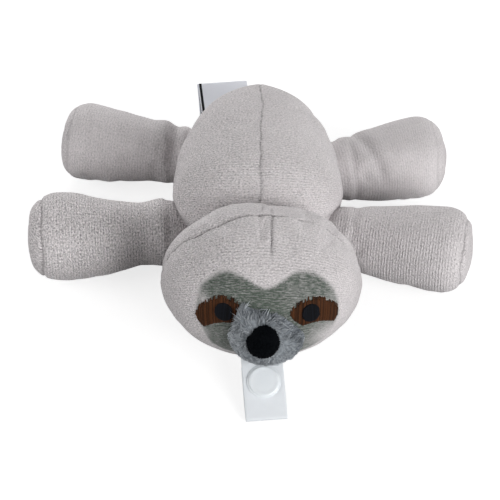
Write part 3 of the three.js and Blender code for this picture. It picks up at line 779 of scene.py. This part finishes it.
def shouldered(ways):
    """Directions with the muzzle's uneven outline: at an angle a round it, in degrees from the right
    upwards, they grow by the sum of a few humps and hollows, each height * bell(a - place, width)."""
    angle = np.degrees(np.arctan2(ways[..., 2], ways[..., 0]))
    grow = 1 + sum(height * bell(angle - place, width) for place, width, height in MUZZLE_OUTLINE)
    return ways * np.stack([grow, 0 * grow + 1, grow], -1)


def ways_forward(polar, around):
    """Directions at one angle from straight forwards and at another round it."""
    polar, around = np.broadcast_arrays(polar, around)
    return np.stack([np.sin(polar) * np.cos(around), -np.cos(polar), np.sin(polar) * np.sin(around)], -1)


polar = np.pi * crowded(70, 1, [0.5], 0.3, 0.0)
ball = ways_forward(polar[:, None], np.linspace(0, 2 * np.pi, 101)[:-1])
muzzle_places = shouldered(ball) * MUZZLE_HALVES * BACKING_SHARE + MUZZLE_MIDDLE
muzzle_places = muzzle_places + ball * (0.3 * mm * lumps(muzzle_places, 7 * mm, 40))[..., None]
seat = face_at(muzzle_places[..., [0, 2]], 0.25 * mm)
muzzle_places[..., 1] = np.minimum(muzzle_places[..., 1], seat)
muzzle_base = hair_cloth("muzzle_backing", (96, 101, 106), (150, 156, 161), 0.95)
tone = 0.5 + 0.5 * lumps(muzzle_places, 1.6 * mm, 41)
muzzle = closed_skin("muzzle", from_head(muzzle_places), muzzle_base, shade=tone)
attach(muzzle, "head")
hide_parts("muzzle_panel", "muzzle_filling")

draw = np.random.default_rng(5)


def spread(count, cap, stray):
    """Directions spread evenly over a cap that faces forwards: a golden spiral, strayed a little round."""
    polar = np.arccos(1 - cap * (np.arange(count) + 0.5) / count)
    return ways_forward(polar, np.arange(count) * math.pi * (3 - math.sqrt(5)) + draw.normal(0, stray, count))


# The hairs grow in clumps. A clump's hairs lie away from the nose alike, and they lean to its knot.
out = spread(HAIRS, 1.25, 0.03)
roots = shouldered(out) * MUZZLE_HALVES * ROOT_SHARE + MUZZLE_MIDDLE
knots = shouldered(spread(CLUMPS, 1.3, 0.05)) * MUZZLE_HALVES * ROOT_SHARE + MUZZLE_MIDDLE
nearest = np.argmin(((roots[:, None] - knots[None]) ** 2).sum(-1), axis=1)
normal = unit(out / MUZZLE_HALVES)
from_nose = unit(knots - NOSE_MIDDLE + np.array([0, 0, -0.6 * mm]))
swirl = np.stack([lumps(knots, 7 * mm, seed) for seed in (61, 62, 63)], -1)
beside_nose = np.linalg.norm((knots - NOSE_MIDDLE)[:, [0, 2]], axis=1) < 7.6 * mm
from_nose[beside_nose & (knots[:, 2] < NOSE_MIDDLE[2] - 3 * mm)] *= -0.4
lay = (from_nose + 0.8 * swirl + draw.normal(0, 0.4, (CLUMPS, 3)))[nearest] + draw.normal(0, 0.16, (HAIRS, 3))
lay = unit(lay - (lay * normal).sum(1)[:, None] * normal)
keep = face_at(roots[:, [0, 2]], -0.6 * mm) > roots[:, 1]
keep &= np.linalg.norm((roots - NOSE_MIDDLE)[:, [0, 2]], axis=1) > 4.4 * mm
length = draw.uniform(SHORTEST_HAIR, LONGEST_HAIR, CLUMPS)[nearest] * draw.uniform(0.85, 1.1, HAIRS)
length = length * (1 + 0.6 * smooth(knots[nearest, 2] - MUZZLE_MIDDLE[2], 6 * mm, 11 * mm))
curl = 0.75 * (knots[nearest] - roots) + draw.normal(0, 0.2 * mm, (HAIRS, 3)) + np.array([0, 0, -0.2 * mm])
aside, above = ((roots - MUZZLE_MIDDLE) / MUZZLE_HALVES)[:, [0, 2]].T
shade = 0.22 * draw.beta(2, 2, CLUMPS)[nearest] + 0.5 * draw.beta(0.8, 1.2, HAIRS) + 0.135
shade = shade + 0.28 * smooth(-aside, 0.2, 0.9) - 0.2 * smooth(aside, 0.2, 0.9)
shade = shade - 0.14 * smooth(above, 0.1, 0.6) + 0.22 * smooth(-above, 0.2, 0.8)
long_ones = draw.uniform(0, 1, HAIRS) < 0.06
length = np.where(long_ones, 1.4 * length, length)
shade = np.clip(np.where(long_ones, shade + 0.3, shade), 0, 1)
pile_finish = hair_cloth("long_pile", (84, 90, 97), (228, 233, 238), 0.8)
muzzle_pile = hairs("muzzle_pile", from_head(roots[keep]), lay[keep] @ HEAD_AXES, normal[keep] @ HEAD_AXES,
                    length[keep], HAIR_GIRTH, curl[keep], shade[keep], pile_finish)
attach(muzzle_pile, "head")


# The nose: a gathered round of black plush, stuffed hard and sewn on the top of the muzzle, with a
# short pile that softens its edge.
NOSE_TILT = math.radians(25)
NOSE_HALVES = np.array([5.95, 4.2, 6.2]) * mm
NOSE_AXES = np.array([[1, 0, 0], [0, math.cos(NOSE_TILT), -math.sin(NOSE_TILT)],
                      [0, math.sin(NOSE_TILT), math.cos(NOSE_TILT)]])
NOSE_HAIRS, NOSE_HAIR_GIRTH, NOSE_ROOT_SHARE = 1500, 0.13 * mm, 0.9
nose_ball = ball[::2, ::2]
nose_places = (nose_ball * NOSE_HALVES * BACKING_SHARE) @ NOSE_AXES + NOSE_MIDDLE
nose_places = nose_places + (nose_ball @ NOSE_AXES) * (0.1 * mm * lumps(nose_places, 3 * mm, 50))[..., None]
black = hair_cloth("black_pile", (2, 3, 5), (14, 17, 21), 0.85, 0.04)
tone = 0.3 + 0.3 * lumps(nose_places, 1.2 * mm, 51)
nose = closed_skin("nose_dome", from_head(nose_places), black, shade=tone)
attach(nose, "head")
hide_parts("nose")

out = spread(NOSE_HAIRS, 1.15, 0.0)
roots = (out * NOSE_HALVES * NOSE_ROOT_SHARE) @ NOSE_AXES + NOSE_MIDDLE
normal = unit((out / NOSE_HALVES) @ NOSE_AXES)
lay = draw.normal(0, 1, (NOSE_HAIRS, 3)) + np.array([0, 0, -0.8])
lay = unit(lay - (lay * normal).sum(1)[:, None] * normal) * 0.8 + normal * 0.6
length = draw.uniform(0.7, 1.3, NOSE_HAIRS) * mm
curl = draw.normal(0, 0.1 * mm, (NOSE_HAIRS, 3))
nose_pile = hairs("nose_pile", from_head(roots), lay @ HEAD_AXES, normal @ HEAD_AXES, length,
                  NOSE_HAIR_GIRTH, curl, draw.uniform(0, 1, NOSE_HAIRS), black)
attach(nose_pile, "head")


# The eyes: satin stitch embroidered through the face. Brown threads lie side by side up the patch,
# with uneven upper ends, and a round of nearly black thread is stitched over them as the pupil.
FACE_MIDDLE_X, EYE_SPACING, EYE_HEIGHT, EYE_DEPTH = 2.8 * mm, 30.7 * mm, 8 * mm, 25 * mm
EYE_OUT, EYE_UP = math.radians(15), math.radians(35)
PUPIL_RADIUS, PUPIL_TALL, PUPIL_RISE = 3.2 * mm, 1.1, 0.3 * mm
THREAD, BROWN_SPACING, BLACK_SPACING = 0.21 * mm, 0.3 * mm, 0.26 * mm
BROWN_ROOM, BLACK_ROOM, THREAD_DIVE = 0.35 * mm, 0.85 * mm, 1.1 * mm
EYE_LINE = np.array([
    (-7.4, 2.2), (-6, 3.8), (-3.9, 5.2), (-0.1, 5.9), (3, 5), (5.6, 3.7), (8.3, 1.6), (10.7, -1.6),
    (10, -4.8), (8.6, -7), (4.5, -5.2), (0.3, -4.4), (-3.4, -4.4), (-6, -1.2),
]) * mm


def spans(line, steps):
    """Where each upright step crosses a closed line: its lowest and highest place."""
    low, high = np.full(len(steps), np.inf), np.full(len(steps), -np.inf)
    for (x0, z0), (x1, z1) in stretches(line):
        if x0 == x1:
            continue
        share = (steps - x0) / (x1 - x0)
        at = np.where((share >= 0) & (share <= 1), z0 + share * (z1 - z0), np.nan)
        low, high = np.fmin(low, at), np.fmax(high, at)
    return low, high


def stitches(name, lows, highs, place, room, cloth):
    """Threads side by side, each a tube from its low end to its high end: it lies on the face, plus a room,
    and its two ends dive through the cloth. place takes flat places of the eye to places on the face."""
    stations = 12
    t = (1 - np.cos(np.pi * np.linspace(0, 1, stations))) / 2
    path, out = place(lows[:, None] + (highs - lows)[:, None] * t[None, :, None], room)
    path = path - out * (THREAD_DIVE * bell(t * (1 - t) * 4, 0.16))[None, :, None]
    aside = unit(np.cross(np.gradient(path, axis=1), out))
    girth = THREAD * np.array([0.0, 0.8, *[1.0] * (stations - 4), 0.8, 0.0])
    shade = draw.uniform(0, 1, len(lows))
    places = from_head(tubes(path, aside, out, girth, 6, flatness=0.8))
    return closed_skin(name, places, cloth, shade=shade[:, None, None])


brown_thread = hair_cloth("brown_thread", (34, 19, 9), (82, 49, 28), 0.6, 0.08)
dark_thread = hair_cloth("black_thread", (3, 3, 5), (16, 18, 24), 0.6, 0.06)
for name, side, tilt in (("left", -1, math.radians(-9)), ("right", 1, math.radians(8))):
    yaw, spin = side * EYE_OUT, side * tilt
    across = np.array([math.cos(yaw), math.sin(yaw), 0])
    facing = np.array([math.sin(yaw) * math.cos(EYE_UP), -math.cos(yaw) * math.cos(EYE_UP), math.sin(EYE_UP)])
    upwards = np.cross(facing, across)
    middle = np.array([FACE_MIDDLE_X + side * EYE_SPACING / 2, -EYE_DEPTH, EYE_HEIGHT])
    turned = EYE_LINE * [side, 1]
    turned = turned @ np.array([[math.cos(spin), math.sin(spin)], [-math.sin(spin), math.cos(spin)]])

    def place(flat, room):
        start = middle + flat[..., :1] * across + flat[..., 1:] * upwards
        on = on_head(start, facing, 0.0)
        out = unit(on / np.array([HEAD["half_width"], HEAD["front"], HEAD["crown"]]) ** 2)
        return on + out * room, out

    steps = np.arange(turned[:, 0].min() + 0.15 * mm, turned[:, 0].max() - 0.1 * mm, BROWN_SPACING)
    low, high = spans(turned, steps)
    count = len(steps)
    stray = draw.uniform(-0.3, 0.3, count)
    high = high + (stray + draw.choice([-0.25, 0.85], size=count, p=[0.55, 0.45])) * mm
    low = low - draw.uniform(0.0, 0.2, count) * mm
    lean = 0.06 * (high - low) * side
    lows, highs = np.stack([steps - lean, low], -1), np.stack([steps + lean, high], -1)
    patch = stitches("eye_stitching_" + name, lows, highs, place, BROWN_ROOM, brown_thread)
    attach(patch, "head")
    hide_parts("eye_patch_" + name)
    steps = np.arange(-PUPIL_RADIUS + 0.12 * mm, PUPIL_RADIUS - 0.08 * mm, BLACK_SPACING)
    half = (np.sqrt(PUPIL_RADIUS**2 - steps**2) + 0.15 * mm) * PUPIL_TALL
    steps = steps + (0.5 if side < 0 else 0.0) * mm
    lows, highs = (np.stack([steps, PUPIL_RISE + end * half], -1) for end in (-1, 1))
    pupil = stitches("pupil_stitching_" + name, lows, highs, place, BLACK_ROOM, dark_thread)
    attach(pupil, "head")
    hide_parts("pupil_" + name)


# The strap: one length of white polyester ribbon, sewn in under the muzzle, folded back under itself
# at its far end, with a plastic snap set through both of its leaves.
RIBBON_WIDTH, RIBBON_THICKNESS = 15.2 * mm, 0.7 * mm
MOUTH = np.array([1.3, -87.1, 11.6]) * mm
STRAP_LENGTH, FOLD_HEIGHT, FOLD_RADIUS = 22.3 * mm, 1.5 * mm, 0.5 * mm
STRAP_SLOPE = math.asin((MOUTH[2] - FOLD_HEIGHT) / STRAP_LENGTH)
LOWER_LEAF = np.array([(22.3, -1.0), (19.2, -2.2), (16.3, -3.35), (14.5, -3.5), (2.5, -3.5)]) * mm
STRAP_LIE = dict(start=MOUTH, slope=STRAP_SLOPE, turn=math.radians(5))
RIB, WOVEN_THREAD = 0.42 * mm, 0.3 * mm
SHINE, SHEEN = 0.35, 0.15


def laid(places, start, slope, turn):
    """Places in the row frame from places of a tape: along it from its start, square to it, and across it.
    It falls by its slope, and it is turned a little from straight forwards."""
    u, w, v = np.moveaxis(places, -1, 0)
    forward = u * math.cos(slope) + w * math.sin(slope)
    x = start[0] + forward * math.sin(turn) + v * math.cos(turn)
    y = start[1] - forward * math.cos(turn) + v * math.sin(turn)
    z = start[2] - u * math.sin(slope) + w * math.cos(slope)
    return np.stack([x, y, z], -1)


def ribbon_cloth(name, colour, line=None):
    """A smooth close-woven ribbon: rows of fine cross ribs with a faint mottling. A line between two
    distances across from the middle is painted nearly black and without shine, as painted shadow."""
    cloth = new_finish(name)
    place = joined(cloth, "TexCoord").outputs["Object"]
    across = mark(cloth, "across")
    ribs, threads = (sums(cloth, "SINE", sums(cloth, "MULTIPLY", way, 2 * math.pi / length))
                     for way, length in ((mark(cloth, "length"), RIB), (across, WOVEN_THREAD)))
    woven = weighed(cloth, ribs, (threads, 0.5))
    shade = weighed(cloth, 0.97, (noise(cloth, place, 300, 3), 0.06), (woven, 0.008))
    shine, sheen = SHINE, SHEEN
    if line:
        beside = sums(cloth, "ABSOLUTE", sums(cloth, "SUBTRACT", across, sum(line) / 2))
        half = abs(line[1] - line[0]) / 2
        clear = ramp(cloth, beside, half, half + 0.1 * mm)
        # Painted shadow: the line is nearly black and has neither shine nor sheen.
        shade = sums(cloth, "MULTIPLY", shade, weighed(cloth, 0.03, (clear, 0.97)))
        shine, sheen = (sums(cloth, "MULTIPLY", clear, whole) for whole in (SHINE, SHEEN))
    return worn(cloth, {"Base Color": shaded(cloth, linear(*colour)[:3], shade),
                        "Normal": bumped(cloth, 0.35, 0.04 * mm, woven),
                        "Roughness": 0.55, "Specular IOR Level": shine, "Sheen Weight": sheen})


def ribbon(name, path, width, thickness, lie, cloth, aside=0.0):
    """A strip with rounded edges that follows a path of (along, square) places: at each place its section
    is a rectangle of the ribbon's width and thickness with half-round edges, drawn to a line at both ends.
    It may run aside by a length for each place of the path, and it is laid as its lie says."""
    way = unit(np.gradient(path, axis=0))
    square = np.stack([-way[:, 1], way[:, 0]], -1)
    half = thickness / 2
    edge = np.linspace(-np.pi / 2, np.pi / 2, 7)
    side = width / 2 - half
    flat = np.linspace(-1, 1, 15)[1:-1] * side
    v = np.concatenate([side + half * np.cos(edge), -flat, -side - half * np.cos(edge), flat])
    w = np.concatenate([half * np.sin(edge), 0 * flat + half, -half * np.sin(edge), 0 * flat - half])
    rows = path[:, None, :] + square[:, None, :] * w[None, :, None]
    over = v[None, :] + np.broadcast_to(aside, len(path))[:, None]
    places = np.concatenate([rows, over[..., None]], -1)
    first, last = (end.mean(1, keepdims=True) + 0 * end for end in (places[:1], places[-1:]))
    along = lengths_along(path)
    length = np.concatenate([along[:1], along, along[-1:]])[:, None]
    places = laid(np.concatenate([first, places, last]), **lie)
    return closed_skin(name, places, cloth, length=length, across=v)


white_ribbon = ribbon_cloth("white_ribbon", (232, 236, 240))
fold_turn = np.linspace(np.pi / 2, -np.pi / 2, 13)
over_fold, down_fold = FOLD_RADIUS * np.cos(fold_turn), FOLD_RADIUS * np.sin(fold_turn)
fold = np.stack([STRAP_LENGTH + over_fold, -FOLD_RADIUS + down_fold], -1)
upper_leaf = np.stack([np.linspace(-0.6 * mm, STRAP_LENGTH, 40), np.zeros(40)], -1)
reach = lengths_along(LOWER_LEAF)
steps = np.linspace(0, reach[-1], 40)
lower_leaf = np.stack([np.interp(steps, reach, places) for places in LOWER_LEAF.T], -1)
strap_path = np.concatenate([upper_leaf[:-1], fold, lower_leaf[1:]])
strap = ribbon("strap_ribbon", strap_path, RIBBON_WIDTH, RIBBON_THICKNESS, STRAP_LIE, white_ribbon)
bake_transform(strap)
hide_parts("strap_upper_leaf", "strap_lower_leaf")


# The snap: four turned pieces of glossy white plastic, a domed cap and a socket pressed together
# through the upper leaf, and a stud with its own cap through the lower one.
SNAP_DISTANCE = 9 * mm
snap_white = new_finish("snap_plastic_white")
place = joined(snap_white, "TexCoord").outputs["Object"]
cloud = noise(snap_white, place, 220, 2)
worn(snap_white, {"Base Color": mixed(snap_white, cloud, (226, 231, 235), (236, 240, 243)),
                  "Normal": bumped(snap_white, 0.12, 0.05 * mm, cloud),
                  "Roughness": 0.28, "Specular IOR Level": 0.45})


def snap_piece(name, profile, finish):
    """A turned piece: its profile of radii and heights square to the strap, carried round the snap's axis."""
    turn = np.linspace(0, 2 * np.pi, 73)[:-1]
    radius, height = np.array(profile).T[..., None] * mm
    u = SNAP_DISTANCE + radius * np.cos(turn)
    places = np.stack([u, height + 0 * u, radius * np.sin(turn)], -1)
    return closed_skin(name, laid(places, **STRAP_LIE), finish)


def cap_profile(flat, side):
    """A cap's section from the ribbon up: a flat foot, a thin flange, a rounded rim, a shallow step and a
    slightly sunk middle."""
    rise = np.linspace(0, np.pi / 2, 9)
    rim = [(4.95 + 0.6 * math.cos(a), 0.5 + 0.52 * math.sin(a)) for a in rise]
    top = [(4.7, 1.03), (4.5, 1.02), (4.3, 0.98), (4.1, 0.96), (3.6, 0.96), (2.5, 0.99), (1.2, 1.02),
           (0.0, 1.03)]
    flange = [(6.0, 0.0), (6.17, 0.08), (6.2, 0.2), (6.12, 0.32), (5.95, 0.37), (5.7, 0.38)]
    outline = [(0.0, 0.0), (3.0, 0.0), *flange, *rim, *top]
    return [(r, flat + side * h) for r, h in outline]


SOCKET = [(0, -0.85), (1.2, -0.85), (2.6, -0.85), (2.6, -1.2), (2.6, -2.0), (2.75, -2.05), (3.8, -2.05),
          (5.05, -2.05), (5.2, -1.95), (5.2, -1.2), (5.2, -0.6), (5.05, -0.55), (2.5, -0.55), (0, -0.55)]
STUD = [(0, -2.95), (2.5, -2.95), (5.05, -2.95), (5.2, -2.85), (5.2, -2.35), (5.05, -2.25), (3.0, -2.25),
        (1.8, -2.25), (1.65, -2.1), (1.7, -1.7), (1.6, -1.35), (1.4, -1.25), (0.6, -1.25), (0, -1.25)]
for name, node, body_name, profile in (
    ("snap_top", "snap_cap", "strap", cap_profile(0.4, 1)),
    ("snap_ring", "snap_socket", "strap", SOCKET),
    ("snap_post", "snap_stud", "strap_flap", STUD),
    ("snap_foot", "snap_base_cap", "strap_flap", cap_profile(-3.9, -1)),
):
    made = snap_piece(name, profile, snap_white)
    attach(made, body_name)
    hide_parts(node)


# The label: a short satin tape folded double and caught in the side seam, left bare. Its under leaf
# lies a little aside of the upper one, and a thin dark line along its left edge is painted shadow, the
# shade in the gap between the two leaves.
LABEL_WIDTH, LABEL_LENGTH, LABEL_THICKNESS = 21 * mm, 27 * mm, 0.32 * mm
LABEL_GAP, LABEL_ROOT, LABEL_SHADOW_LINE = 0.26 * mm, 3.2 * mm, (-10.0 * mm, -9.0 * mm)
LABEL_LIE = dict(start=np.array([-14.9, 61.5, 20]) * mm, slope=0.0, turn=math.radians(6))
satin = ribbon_cloth("label_satin", (216, 218, 226), line=LABEL_SHADOW_LINE)
bend = np.linspace(-np.pi / 2, np.pi / 2, 9)[1:-1]
back = np.linspace(LABEL_LENGTH - LABEL_ROOT, LABEL_GAP, 24)
lower = np.stack([back, 0 * back - LABEL_GAP], -1)
upper = np.stack([back[::-1], 0 * back + LABEL_GAP], -1)
curve = np.stack([LABEL_GAP - LABEL_GAP * np.cos(bend), LABEL_GAP * np.sin(bend)], -1)
label_path = np.concatenate([lower, curve, upper])
slipped = np.linspace(-0.9 * mm, -0.3 * mm, 24)
under_aside = np.concatenate([slipped, np.linspace(-0.3 * mm, 0, 7), np.zeros(24)])
label = ribbon("label_tape", label_path, LABEL_WIDTH, LABEL_THICKNESS, LABEL_LIE, satin, under_aside)
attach(label, "label")
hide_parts("side_label")
